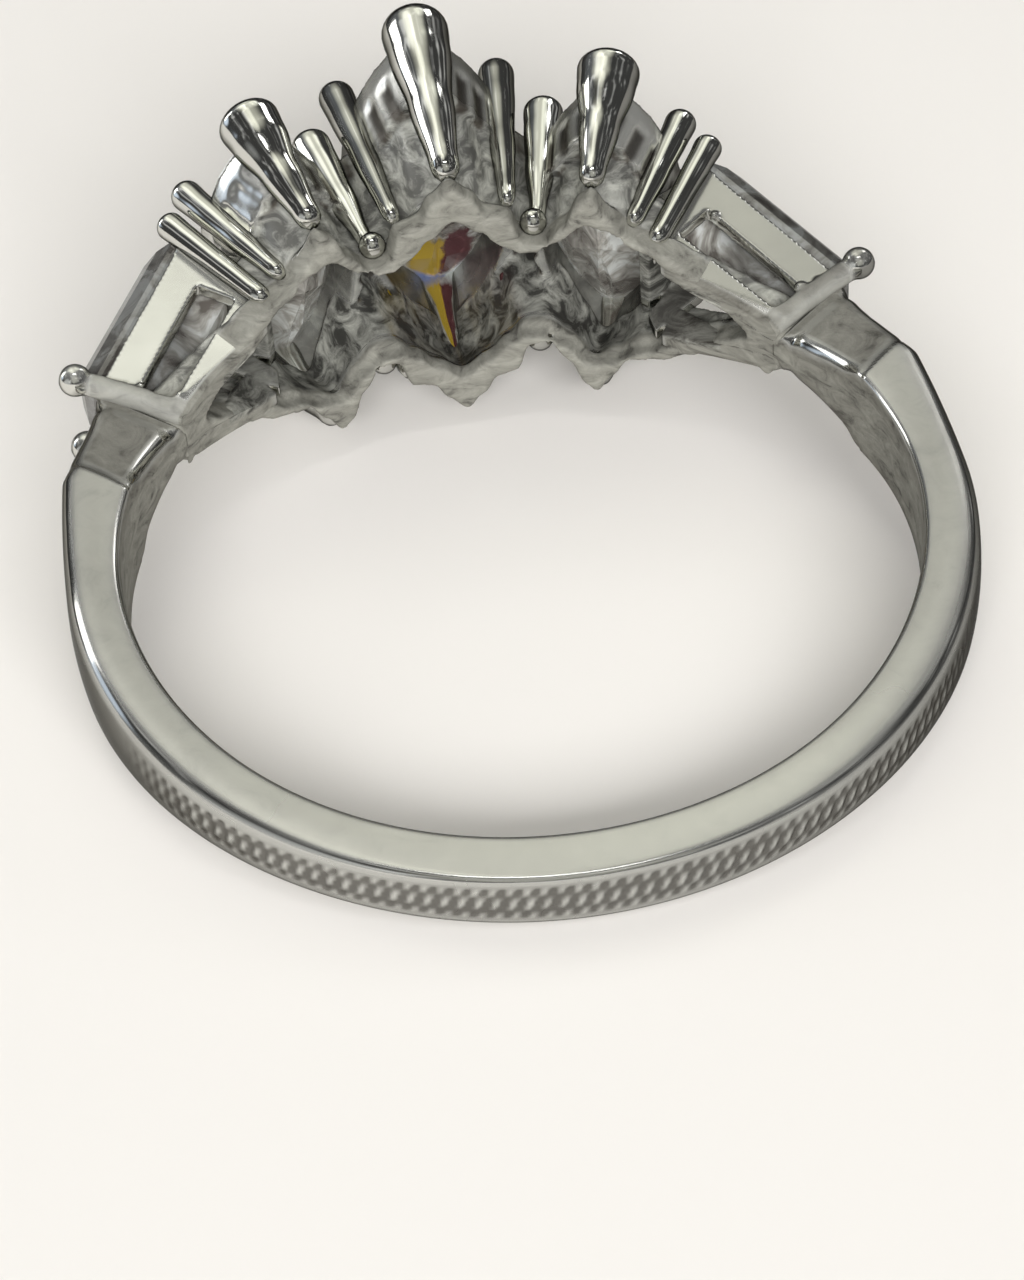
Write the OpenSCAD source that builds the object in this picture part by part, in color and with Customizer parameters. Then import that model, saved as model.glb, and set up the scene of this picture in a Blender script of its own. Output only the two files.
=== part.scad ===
// Five-stone ring: three marquise stones set like a crown, a tapered baguette on each shoulder.
// The ring is worked out about its finger axis (Z) with the head towards +Y,
// then laid on its side, resting on two far prongs and the edge of the shank.

/* [Finger] */
// Radius of the hole that the finger goes through
finger_r = 8.6; // [8.3:0.1:8.9]

/* [Shank] */
// Radial thickness of the shank
shank_thick = 1.2; // [1.0:0.1:1.4]
// Half width of the shank at the back of the finger
shank_half_back = 0.7; // [0.6:0.05:0.9]
// Half width of the shank level with the finger's centre
shank_half_side = 1.2; // [1.1:0.05:1.3]

/* [Center stone] */
// Half length of the center marquise, along the finger
center_half_long = 3.95; // [3.8:0.05:4.05]
// Half width of the center marquise
center_half_wide = 2.0; // [1.9:0.05:2.05]
// Height of the center girdle above the finger's axis
center_girdle_r = 13.9; // [13.7:0.05:14.1]

/* [Side stones] */
// Half length of a side marquise
side_half_long = 3.45; // [3.3:0.05:3.55]
// Half width of a side marquise
side_half_wide = 1.75; // [1.65:0.05:1.8]
// Distance of a side girdle from the finger's axis
side_girdle_r = 12.35; // [12.2:0.05:12.5]
// Angle of a side marquise from the center stone
side_angle = 19.6; // [19.3:0.1:20]

/* [Baguettes] */
// Length of a baguette from its wide end to its narrow end
baguette_long = 4.6; // [4.4:0.1:4.7]
// Half width of a baguette at its wide inner end
baguette_half_in = 1.48; // [1.4:0.02:1.52]
// Half width of a baguette at its narrow outer end
baguette_half_out = 0.86; // [0.8:0.02:0.9]
// Direction that a baguette faces, turned from the head
baguette_facing = 59; // [58:0.5:60]

/* [Hidden] */
$fn = 96;

// Clearance between a stone and the metal that holds it
stone_gap = 0.04;

// Shank and shoulders, in the plane of the ring
shank_r = finger_r + shank_thick;
shoulder_sweep_r = 31;
shoulder_half_top = 1.35;
shoulder_top_y = 7;
shank_blank = 4;

// The scoop that pinches each shoulder: narrowest half width, radius and outward rise
pinch_half = 0.55;
scoop_r = 9;
scoop_rise = 9.8;
scoop_turn = 18.2;
scoop_at = [6.57, 5.7];

// Gallery rails: a scalloped shell round the finger, wide at each marquise's tips
rail_thick = 0.75;
rail_center = [3.0, 2.25];
rail_center_open = [2.4, 2.0];
rail_side = [2.75, 2.15];
rail_side_open = [2.1, 1.95];
rail_side_turn = 20;
taper_turn = 33;
taper_open = [[-1.5, 1.8], [1.95, 0.12]];
rail_open_r = 9.7;

// Marquise stones: crown, girdle and pavilion as shares of the half width
table_share = 0.56;
crown_share = 0.3;
girdle_high = 0.12;
pavilion_share = 1.1;
collar_skin = 0.08;
collar_ledge = 0.45;
center_collar_high = 2.35;
side_collar_high = 1.8;

// Posts of the marquise stones, as [distance from the axis, angle, height along the finger, radius];
// a head's row ends with the height of its domed end
center_tip_base = [8.9, 0, 3.5, 0.36];
center_tip_head = [14.0, 0, 3.95, 0.76, 0.58];
center_flank_base = [8.95, 8.5, 2.45, 0.26];
center_flank_head = [14.75, 7.6, 1.88, 0.42, 0.36];
side_tip_base = [8.9, 20.6, 3.1, 0.34];
side_tip_head = [12.5, 19.8, 3.65, 0.71, 0.42];
side_in_base = [9.0, 12.4, 1.82, 0.24];
side_in_head = [13.15, 12.3, 1.88, 0.46, 0.36];
side_out_base = [8.95, 26.5, 2.0, 0.24];
side_out_head = [13.1, 26.8, 1.88, 0.35, 0.28];
valley_bead = [9.2, 11.8, 1.8, 0.28];

// Baguette seat: middle of its top edge, and its walls in the seat's own frame
// (x runs from the wide end to the narrow end, z runs out from the finger)
seat_at = [11.3, 41];
seat_half_in = 1.5;
seat_half_out = 0.83;
seat_reach = [-2.25, 2.4];
seat_deep = 3.2;
seat_wall = 0.34;
slot_high = [-1.93, -1.0];
slot_long = [-1.15, 1.95];
slot_corner = 0.26;
baguette_crown = 0.62;
baguette_pavilion = 1.45;
baguette_shift = -0.05;
baguette_lift = 0.03;

// Posts of a baguette, as [along the seat, out of the seat, height along the finger, radius],
// again with the height of the domed end
bag_in_base = [-0.85, -2.9, 1.62, 0.26];
bag_in_head = [-2.55, 0.42, 1.7, 0.33, 0.26];

// Flattened bar across a seat's narrow end, with a ball at its outer end
end_bar_along = [2.0, 2.46];
end_bar_out = [-2.4, 0.35];
end_bar_high = [0.5, 0.95];
end_ball_at = [2.4, 0.5, 1.02];
end_ball_r = 0.36;

// How the ring lies: the far side prongs and the back edge of the shank touch the surface
back_edge = [-shank_r, -shank_half_back];
far_prong = [side_tip_head[0] * cos(side_tip_head[1]), -side_tip_head[2]];
lie_line = far_prong - back_edge;
lie_tilt = asin(side_tip_head[3] / norm(lie_line)) - atan2(lie_line[1], lie_line[0]);
lowest = back_edge[0] * sin(lie_tilt) + back_edge[1] * cos(lie_tilt);
front_y = back_edge[0] * cos(lie_tilt) + back_edge[1] * sin(lie_tilt);
head_y = center_tip_head[0] * cos(lie_tilt) + center_tip_head[2] * sin(lie_tilt)
    + center_tip_head[4];

// A point of the ring given by distance from the finger's axis, angle from the head and height
function around(p) = [p[0] * sin(p[1]), p[0] * cos(p[1]), p[2]];
// A point of the right baguette's seat: x along the seat, z out of it
seat_mid = [seat_at[0] * sin(seat_at[1]), seat_at[0] * cos(seat_at[1])];
function on_seat(x, z) = seat_mid
    + x * [cos(baguette_facing), -sin(baguette_facing)]
    + z * [sin(baguette_facing), cos(baguette_facing)];
// Radius of the two arcs that bound a marquise outline
function arc_r(long, wide) = (long * long + wide * wide) / (2 * wide);
// Half width of a marquise outline at a height along its length
function lens_x(long, wide, y) =
    sqrt(max(0, pow(arc_r(long, wide), 2) - y * y)) - arc_r(long, wide) + wide;

module laid() {
    translate([0, -(front_y + head_y) / 2, -lowest])
        rotate([lie_tilt, 0, 0])
            children();
}

// Both sides of the ring, left and right
module both_sides() {
    children();
    mirror([1, 0, 0]) children();
}

// Both ends of the finger's axis
module both_ends() {
    children();
    mirror([0, 0, 1]) children();
}

// Turns a shape so that its +Z points out of the finger at an angle from the head
module facing(angle) {
    rotate([0, 0, -angle]) rotate([-90, 0, 0]) children();
}

// Straight block whose plan is a marquise
module lens(long, wide, high) {
    r = arc_r(long, wide);
    linear_extrude(high)
        intersection() {
            translate([wide - r, 0]) circle(r);
            translate([r - wide, 0]) circle(r);
        }
}

// Head of a post: a disc with a rounded rim, domed when the dome nears the radius
module post_head(r, dome) {
    rotate_extrude()
        intersection() {
            union() {
                translate([r - dome, 0]) circle(dome);
                translate([0, -dome]) square([r - dome, 2 * dome]);
            }
            translate([0, -r]) square(2 * r);
        }
}

// Tapered post from a to b with a rounded head
module post(a, b, r_base, r_neck, r_head, dome) {
    d = b - a;
    translate(a)
        rotate([0, acos(d[2] / norm(d)), atan2(d[1], d[0])]) {
            cylinder(h = norm(d), r1 = r_base, r2 = r_neck);
            translate([0, 0, norm(d)]) post_head(r_head, dome);
        }
}

// Post of a marquise stone, given by its base and head rows
module ring_post(base, head) {
    post(around(base), around(head), base[3], 0.92 * head[3], head[3], head[4]);
}

// Post of a baguette, given by its base and head rows on the seat
module seat_post(base, head) {
    post(concat(on_seat(base[0], base[1]), [base[2]]),
         concat(on_seat(head[0], head[1]), [head[2]]), base[3], 0.92 * head[3], head[3], head[4]);
}

// Plan of the shank and its rising shoulders
module shank_plan() {
    intersection() {
        circle(shank_r);
        translate([-shank_r - 1, -shank_r - 1]) square([2 * shank_r + 2, shank_r + 1]);
    }
    both_sides()
        intersection() {
            translate([shank_r - shoulder_sweep_r, 0]) circle(shoulder_sweep_r);
            polygon([[4, 0], [shank_r + 1, 0], on_seat(3.2, -0.2), on_seat(2.45, 0),
                     on_seat(2.2, -0.3), on_seat(2.1, -3)]);
        }
}

module shoulder_scoop() {
    translate([scoop_at[0], scoop_at[1], pinch_half])
        rotate([0, 0, scoop_turn])
            rotate([0, -scoop_rise, 0])
                translate([-2.5, 0, scoop_r])
                    rotate([0, 90, 0]) cylinder(h = 8, r = scoop_r, $fn = 180);
}

module shank() {
    difference() {
        intersection() {
            translate([0, 0, -shank_blank / 2]) linear_extrude(shank_blank) shank_plan();
            rotate([90, 0, 90])
                linear_extrude(4 * shank_r, center = true)
                    polygon([[-shank_r - 0.1, shank_half_back], [0, shank_half_side],
                             [shoulder_top_y, shoulder_half_top],
                             [shoulder_top_y, -shoulder_half_top], [0, -shank_half_side],
                             [-shank_r - 0.1, -shank_half_back]]);
        }
        both_sides() both_ends() shoulder_scoop();
    }
}

module rails() {
    intersection() {
        cylinder(h = 9, r = finger_r + rail_thick, center = true);
        union() {
            facing(0) lens(rail_center[0], rail_center[1], 12);
            for (side = [-1, 1])
                facing(side * rail_side_turn) lens(rail_side[0], rail_side[1], 12);
        }
    }
}

// Both gallery rails and both baguette seats, opened towards the finger
module gallery() {
    difference() {
        union() {
            rails();
            both_sides() baguette_seat();
        }
        rail_opening();
    }
}

// The scalloped opening that shows the stones from the finger's side
module rail_opening() {
    facing(0) lens(rail_center_open[0], rail_center_open[1], rail_open_r);
    for (side = [-1, 1])
        facing(side * rail_side_turn) lens(rail_side_open[0], rail_side_open[1], rail_open_r);
    both_sides()
        facing(taper_turn)
            linear_extrude(rail_open_r)
                polygon([taper_open[0], taper_open[1], [taper_open[1][0], -taper_open[1][1]],
                         [taper_open[0][0], -taper_open[0][1]]]);
}

// Wall under a marquise's girdle, open inside
module collar(long, wide, girdle_r, high) {
    skin_long = sqrt(pow(arc_r(long, wide) + collar_skin, 2)
                     - pow(arc_r(long, wide) - wide, 2));
    translate([0, 0, girdle_r - high])
        difference() {
            lens(skin_long, wide + collar_skin, high);
            translate([0, 0, -1]) lens(long - 0.9, wide - collar_ledge, high + 2);
        }
}

module collars() {
    facing(0) collar(center_half_long, center_half_wide, center_girdle_r, center_collar_high);
    for (side = [-1, 1])
        facing(side * side_angle)
            collar(side_half_long, side_half_wide, side_girdle_r, side_collar_high);
}

// Two slotted side walls and two end walls under the right baguette
module baguette_seat() {
    difference() {
        intersection() {
            translate(concat(seat_mid, [0]))
                facing(baguette_facing)
                    translate([0, 0, -seat_deep - 1])
                        linear_extrude(seat_deep + 1) seat_plan(0);
            linear_extrude(6, center = true)
                polygon([on_seat(seat_reach[0], 0), on_seat(seat_reach[1], 0),
                         on_seat(seat_reach[1], -seat_deep), on_seat(-0.7, -seat_deep - 0.3)]);
        }
        translate(concat(seat_mid, [0]))
            facing(baguette_facing)
                translate([0, 0, -seat_deep - 2]) linear_extrude(seat_deep + 3) seat_plan(1);
        seat_slot();
    }
}

// Plan of the seat: 0 is its outside, 1 is the room inside its walls
module seat_plan(inside) {
    w = inside * seat_wall;
    polygon([[seat_reach[0] + w, seat_half_in - w], [seat_reach[1] - 1.6 * w, seat_half_out - w],
             [seat_reach[1] - 1.6 * w, w - seat_half_out], [seat_reach[0] + w, w - seat_half_in]]);
}

// Window through the side walls, with rounded corners
module seat_slot() {
    r = slot_corner;
    a = slot_long[0];
    b = slot_long[1];
    low = slot_high[0];
    top = slot_high[1];
    linear_extrude(6, center = true) {
        polygon([on_seat(a + r, low), on_seat(b - r, low), on_seat(b - r, top), on_seat(a + r, top)]);
        polygon([on_seat(a, low + r), on_seat(b, low + r), on_seat(b, top - r), on_seat(a, top - r)]);
        for (x = [a + r, b - r], z = [low + r, top - r])
            translate(on_seat(x, z)) circle(r);
    }
}

// Bar and ball that hold the narrow end of the right baguette
module end_bar() {
    a = end_bar_along;
    w = end_bar_out;
    translate([0, 0, end_bar_high[0]])
        linear_extrude(end_bar_high[1] - end_bar_high[0])
            polygon([on_seat(a[0], w[0]), on_seat(a[1], w[0]), on_seat(a[1], w[1]),
                     on_seat(a[0], w[1])]);
    translate(concat(on_seat(end_ball_at[0], end_ball_at[1]), [end_ball_at[2]]))
        sphere(end_ball_r);
}

module posts() {
    both_ends() {
        ring_post(center_tip_base, center_tip_head);
        both_sides() {
            ring_post(center_flank_base, center_flank_head);
            ring_post(side_tip_base, side_tip_head);
            ring_post(side_in_base, side_in_head);
            ring_post(side_out_base, side_out_head);
            translate(around(valley_bead)) sphere(valley_bead[3]);
            seat_post(bag_in_base, bag_in_head);
            end_bar();
        }
    }
}

// The whole metal part, cast and soldered as one
module ring_mount() {
    color("silver")
        laid()
            difference() {
                union() {
                    shank();
                    gallery();
                    collars();
                    posts();
                }
                cylinder(h = 20, r = finger_r, center = true);
                facing(0) center_stone(stone_gap);
                for (side = [-1, 1]) facing(side * side_angle) side_stone(stone_gap);
                both_sides() baguette_stone(stone_gap);
            }
}

// Outline of a marquise: 16 points from one tip round to the other and back
function lens_point(long, wide, k) =
    let (y = long * cos(k * 22.5), x = lens_x(long, wide, y))
    [k < 8 ? x : -x, y];
function lens_ring(long, wide, share, z, ks) =
    [for (k = ks) let (p = lens_point(long, wide, k)) [share * p[0], share * p[1], z]];

// Marquise brilliant with its girdle's underside at z = 0
module marquise(long, wide, gap) {
    l = long + 1.6 * gap;
    w = wide + gap;
    crown = crown_share * wide;
    even = [0 : 2 : 15];
    odd = [1 : 2 : 15];
    points = concat(
        lens_ring(l, w, table_share, girdle_high + crown + gap, even),
        lens_ring(l, w, 0.8, girdle_high + 0.56 * crown + gap, odd),
        lens_ring(l, w, 1, girdle_high + gap, [0 : 15]),
        lens_ring(l, w, 1, -gap, [0 : 15]),
        lens_ring(l, w, 0.5, -0.6 * pavilion_share * wide - gap, odd),
        [[0, 0, -pavilion_share * wide - 1.5 * gap]]);
    star = 8;
    upper = 16;
    lower = 32;
    deep = 48;
    culet = 56;
    faces = concat(
        [[for (i = [0 : 7]) i]],
        [for (i = [0 : 7]) [i, star + i, (i + 1) % 8]],
        [for (i = [0 : 7]) [i, upper + 2 * i, star + i]],
        [for (i = [0 : 7]) [i, star + (i + 7) % 8, upper + 2 * i]],
        [for (i = [0 : 7]) [star + i, upper + 2 * i, upper + 2 * i + 1]],
        [for (i = [0 : 7]) [star + i, upper + 2 * i + 1, upper + (2 * i + 2) % 16]],
        [for (k = [0 : 15]) [upper + k, lower + k, lower + (k + 1) % 16, upper + (k + 1) % 16]],
        [for (i = [0 : 7]) [deep + i, lower + 2 * i + 1, lower + 2 * i]],
        [for (i = [0 : 7]) [deep + i, lower + (2 * i + 2) % 16, lower + 2 * i + 1]],
        [for (i = [0 : 7]) [deep + i, lower + 2 * i, culet]],
        [for (i = [0 : 7]) [deep + (i + 7) % 8, culet, lower + 2 * i]]);
    polyhedron(points, faces);
}

module center_stone(gap) {
    translate([0, 0, center_girdle_r]) marquise(center_half_long, center_half_wide, gap);
}

module side_stone(gap) {
    translate([0, 0, side_girdle_r]) marquise(side_half_long, side_half_wide, gap);
}

// One level of a tapered step cut: four corners, each side moved in parallel to the girdle's
function step_ring(share, z, grow) =
    let (a = baguette_shift - baguette_long / 2,
         slope = (baguette_half_out - baguette_half_in) / baguette_long,
         cut = (1 - share) * baguette_half_out - grow, end = baguette_long - cut,
         wide = baguette_half_in + slope * cut - cut, slim = baguette_half_in + slope * end - cut)
    [[a + cut, wide, z], [a + end, slim, z], [a + end, -slim, z], [a + cut, -wide, z]];

// Tapered baguette, step cut, with its girdle's underside on the seat
module baguette(gap) {
    levels = concat(
        step_ring(0.42, girdle_high + baguette_crown + gap, gap),
        step_ring(0.72, girdle_high + 0.62 * baguette_crown + gap, gap),
        step_ring(1, girdle_high + gap, gap),
        step_ring(1, -gap, gap),
        step_ring(0.74, -0.35 * baguette_pavilion - gap, gap),
        step_ring(0.44, -0.7 * baguette_pavilion - gap, gap),
        step_ring(0.12, -baguette_pavilion - gap, gap));
    faces = concat(
        [[0, 1, 2, 3]],
        [for (n = [0 : 5], i = [0 : 3])
            [4 * n + i, 4 * n + 4 + i, 4 * n + 4 + (i + 1) % 4, 4 * n + (i + 1) % 4]],
        [[27, 26, 25, 24]]);
    polyhedron(levels, faces);
}

module baguette_stone(gap) {
    translate(concat(seat_mid, [0]))
        facing(baguette_facing) translate([0, 0, baguette_lift]) baguette(gap);
}

module center_marquise() {
    color("white") laid() facing(0) center_stone(0);
}

module left_marquise() {
    color("white") laid() facing(-side_angle) side_stone(0);
}

module right_marquise() {
    color("white") laid() facing(side_angle) side_stone(0);
}

module left_baguette() {
    color("white") laid() mirror([1, 0, 0]) baguette_stone(0);
}

module right_baguette() {
    color("white") laid() baguette_stone(0);
}

ring_mount();
center_marquise();
left_marquise();
right_marquise();
left_baguette();
right_baguette();
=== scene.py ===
"""Five-stone ring lying on its side: cast and polished mount, clear cut stones, studio light."""
import math

import bmesh
import bpy
from mathutils import Matrix, Vector, noise


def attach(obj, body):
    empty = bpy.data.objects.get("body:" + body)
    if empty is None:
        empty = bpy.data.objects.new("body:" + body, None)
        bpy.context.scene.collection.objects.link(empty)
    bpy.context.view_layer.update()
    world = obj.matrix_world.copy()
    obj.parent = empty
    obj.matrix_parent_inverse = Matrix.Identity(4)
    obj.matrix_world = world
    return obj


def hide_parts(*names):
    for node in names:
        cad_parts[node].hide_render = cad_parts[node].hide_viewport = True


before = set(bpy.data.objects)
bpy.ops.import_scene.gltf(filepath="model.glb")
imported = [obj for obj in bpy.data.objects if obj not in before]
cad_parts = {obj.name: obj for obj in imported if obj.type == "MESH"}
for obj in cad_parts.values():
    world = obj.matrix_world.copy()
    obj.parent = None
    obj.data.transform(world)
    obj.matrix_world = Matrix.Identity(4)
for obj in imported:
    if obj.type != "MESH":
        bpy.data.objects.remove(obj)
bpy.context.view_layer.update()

# How the ring lies: lean of the finger's axis, and its middle in millimetres
LEAN = math.radians(9.6605)
RING_AT = Vector((0, -2.6329, 2.3346))
TO_WORLD = (Matrix.Scale(0.001, 4) @ Matrix.Translation(RING_AT)
            @ Matrix.Rotation(LEAN, 4, "X"))

# Sizes of the ring in its own millimetres: z along the finger, +y to the stones
FINGER_R = 8.6
SHANK_R = 9.8
SHOULDER_SWEEP_R = 31
HALF_WIDTHS = [(-9.9, 0.7), (0, 1.2), (7, 1.35)]
SCOOP = dict(r=9, half=0.55, at=(6.57, 5.7), turn=18.2, rise=9.8)
SEAT_AT = (11.3, 41)
SEAT_FACING = 59
MARQUISES = {  # angle, half length, half width, girdle distance, collar height
    "center": (0, 3.95, 2.0, 13.9, 2.1),
    "left": (-19.6, 3.45, 1.75, 12.35, 1.7),
    "right": (19.6, 3.45, 1.75, 12.35, 1.7),
}
VOXEL = 0.08


def turned(x, y, degrees):
    """A point of the plane, turned about the plane's origin."""
    a = math.radians(degrees)
    return x * math.cos(a) - y * math.sin(a), x * math.sin(a) + y * math.cos(a)


def around(r, angle, z):
    """A point given by distance from the finger's axis, angle from the head and height."""
    a = math.radians(angle)
    return Vector((r * math.sin(a), r * math.cos(a), z))


def on_seat(u, w, z, side=1):
    """A point of a baguette's seat: u runs outward along it, w out of the finger."""
    a = math.radians(SEAT_FACING)
    mid = around(SEAT_AT[0], SEAT_AT[1], 0)
    x = mid.x + u * math.cos(a) + w * math.sin(a)
    y = mid.y - u * math.sin(a) + w * math.cos(a)
    return Vector((side * x, y, z))


def facing(angle, x, y, out):
    """A point of a marquise's setting: y runs along the finger, out away from it."""
    a = math.radians(angle)
    return Vector((x * math.cos(a) + out * math.sin(a),
                   out * math.cos(a) - x * math.sin(a), -y))


def between(table, x):
    """Value at x of a short table of (x, value) rows, joined by smooth steps."""
    if x <= table[0][0]:
        return table[0][1]
    for (x0, v0), (x1, v1) in zip(table, table[1:]):
        if x <= x1:
            t = (x - x0) / (x1 - x0)
            t = t * t * (3 - 2 * t)
            return v0 + (v1 - v0) * t
    return table[-1][1]


def along(table, x):
    """Value at x of a short table of (x, value) rows, joined by straight lines."""
    for (x0, v0), (x1, v1) in zip(table, table[1:]):
        if x <= x1:
            return v0 + (v1 - v0) * max(0, x - x0) / (x1 - x0)
    return table[-1][1]


class Form:
    """Closed shells of one piece, gathered in the ring's own millimetres."""

    def __init__(self):
        self.verts, self.faces = [], []

    def shell(self, verts, faces):
        start = len(self.verts)
        self.verts += [Vector(v) for v in verts]
        self.faces += [[start + i for i in f] for f in faces]

    def loft(self, rings, loop=False):
        """Skin over closed rings of points, capped at both ends unless it is a loop."""
        n, m = len(rings[0]), len(rings)
        faces = []
        for k in range(m if loop else m - 1):
            a, b = k * n, (k + 1) % m * n
            faces += [(a + i, a + (i + 1) % n, b + (i + 1) % n, b + i) for i in range(n)]
        if not loop:
            faces += [tuple(range(n))[::-1], tuple(range((m - 1) * n, m * n))]
        self.shell([p for ring in rings for p in ring], faces)

    def rod(self, path, sides=20):
        """Round rod through (point, radius) stops, each ring square to the path."""
        points = [p for p, _ in path]
        rings = []
        for k, (p, r) in enumerate(path):
            ahead = points[min(k + 1, len(points) - 1)] - points[max(k - 1, 0)]
            q = ahead.to_track_quat("Z", "Y")
            rings.append([p + q @ Vector((r * math.cos(t), r * math.sin(t), 0))
                          for t in (2 * math.pi * i / sides for i in range(sides))])
        self.loft(rings)

    def block(self, corners):
        """Solid with eight corners: four of one end, then four of the other."""
        self.loft([corners[:4], corners[4:]])

    def ball(self, middle, r, sides=16, steps=10):
        stops = []
        for k in range(steps + 1):
            turn = math.pi * k / steps
            stops.append((middle + Vector((0, 0, -r * math.cos(turn))),
                          max(0.002, r * math.sin(turn))))
        self.rod(stops, sides)

    def piece(self, name):
        """The finished object, in metres, riding on the ring's one body."""
        mesh = bpy.data.meshes.new(name)
        mesh.from_pydata([TO_WORLD @ v for v in self.verts], [], self.faces)
        mesh.validate()
        shell = bmesh.new()
        shell.from_mesh(mesh)
        bmesh.ops.recalc_face_normals(shell, faces=shell.faces)
        shell.to_mesh(mesh)
        shell.free()
        mesh.shade_smooth()
        obj = bpy.data.objects.new(name, mesh)
        bpy.context.collection.objects.link(obj)
        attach(obj, "root")
        return obj


def settle(obj, *modifiers):
    """Runs modifiers, given as (type, values), and keeps their result as the mesh."""
    for kind, values in modifiers:
        mod = obj.modifiers.new(kind.title(), kind)
        for key, value in values.items():
            setattr(mod, key, value)
    graph = bpy.context.evaluated_depsgraph_get()
    mesh = bpy.data.meshes.new_from_object(obj.evaluated_get(graph))
    old = obj.data
    obj.modifiers.clear()
    obj.data = mesh
    mesh.name = obj.name
    bpy.data.meshes.remove(old)
    obj.data.shade_smooth()


def as_cast(p, normal, full, gone):
    """How far a point keeps its cast skin: 1 on the finger's side of the metal, 0 outside."""
    r = math.hypot(p.x, p.y)
    inward = -(normal.x * p.x + normal.y * p.y) / max(r, 0.001)
    r += 0.08 * noise.noise(p * 2.2) * (gone - full) / 0.3
    return between([(full, 1), (gone, 0)], r) * (1 if inward > -0.35 else 0.2)


def finish(obj, cast, dark=None, pits=0.0, painted_darkening=None):
    """Clears the finger's hole, then keeps how cast each vertex is and how dark the shade painted
    on it is.
    """
    back, turn = TO_WORLD.inverted(), TO_WORLD.to_3x3().normalized().transposed()
    here = [(back @ v.co, turn @ v.normal) for v in obj.data.vertices]
    values = [cast(p, n) for p, n in here]
    # Painted shade for each vertex.
    shade = [dark(p, n) if dark else 0.0 for p, n in here]
    flat = []
    for (p, n), value in zip(here, values):
        if pits and value > 0.3:
            spot = noise.noise(Vector((p.x * 2.6 + 3, p.y * 2.6, p.z * 1.3)))
            p = p - n * pits * value * max(0, abs(spot) * 2 - 0.45)
        r = math.hypot(p.x, p.y)
        if r < FINGER_R and abs(p.z) < 5:
            p = Vector((p.x * FINGER_R / r, p.y * FINGER_R / r, p.z))
        flat += list(TO_WORLD @ p)
    obj.data.vertices.foreach_set("co", flat)
    obj.data.update()
    keep(obj, "as_cast", values)
    # Stores the painted shade, then any painted darkening, for the silver's colour.
    keep(obj, "painted_shade", shade)
    if painted_darkening:
        keep(obj, "painted_darkening", [painted_darkening(p, n) for p, n in here])


def keep(obj, name, values):
    """Stores one number for each vertex, for the silver's material to read."""
    obj.data.attributes.new(name, "FLOAT", "POINT").data.foreach_set("value", values)


# Shank and shoulders

SHOULDER_TOP = [(51.2, 8.75), (51.6, 9.3), (52, 9.85), (52.7, 10.8), (53.5, 10.78), (57.4, 10.55),
                (60, 10.44), (65, 10.32), (70, 10.21)]


def from_head(angle):
    """How far round from the head an angle is, by the shorter way."""
    return abs(180 - abs(180 - angle))


def outer_r(angle):
    """Distance of the shank's outer face from the finger's axis at an angle from the head."""
    off = from_head(angle)
    if off >= 90:
        return SHANK_R
    a = math.radians(off)
    s, cx = math.sin(a), SHANK_R - SHOULDER_SWEEP_R
    # The shoulder's outer arc starts level with the finger's middle and sweeps wide
    sweep = s * cx + math.sqrt((s * cx) ** 2 - cx * cx + SHOULDER_SWEEP_R ** 2)
    return min(sweep, along(SHOULDER_TOP, off)) if off < 70 else sweep


def half_width(y):
    """Half the width of the shank, which grows towards the head."""
    return between(HALF_WIDTHS, y)


def scooped(x, y):
    """Height of the scoop's surface over a point of a shoulder."""
    u, v = turned(abs(x) - SCOOP["at"][0], y - SCOOP["at"][1], -SCOOP["turn"])
    rise = math.tan(math.radians(SCOOP["rise"]))
    drop = SCOOP["r"] ** 2 - v * v
    if drop <= 0:
        return 9
    return SCOOP["half"] + SCOOP["r"] - math.sqrt(drop) + max(u, -1.5) * rise


RELIEF = dict(pitch=0.34, row=0.42, slant=0.35, high=0.022, full=48, gone=70)


def stitched(angle, z, reach):
    """Height of the stitch-like relief on the outer face at the back of the shank."""
    off = abs(angle - 180)
    fade = between([(RELIEF["full"], 1), (RELIEF["gone"], 0)], off)
    fade *= between([(reach - 0.22, 1), (reach - 0.04, 0)], abs(z))
    arc = math.radians(angle) * SHANK_R
    u = 2 * math.pi * (arc + RELIEF["slant"] * z) / RELIEF["pitch"]
    v = math.pi * z / RELIEF["row"]
    lump = 0.3 * noise.noise(Vector((arc * 1.9, z * 2.3, 5)))
    return RELIEF["high"] * fade * (math.cos(u) * math.cos(v) - 0.55 + lump)


# Section of the shank: how finely it is stepped, then its ledge, flare and rounded edges
SIDE_STEPS = 18
FACE_STEPS = 24
INNER_POINTS = 5
THINNEST = 0.12
LEDGE = [(-0.5, 0), (-0.06, 0.08), (0.0, 0.08), (0.035, 0)]
HORN = [(53, 0), (55, 1), (66, 1), (71, 0)]
TUCK = [(51.4, 0.45), (53.2, 0.82), (57, 1)]
EDGE = dict(plain=0.13, outer_side=0.22, inner_horn=0.22, outer_horn=0.35)
SIDE_CROWN = dict(back=0.03, side=0.09)
FACE_CROWN = 0.04


def edge_drop(edge, off):
    """How far a rounded edge has fallen at a distance off it."""
    if off >= edge:
        return 0
    return edge - math.sqrt(edge ** 2 - (edge - off) ** 2)


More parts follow.
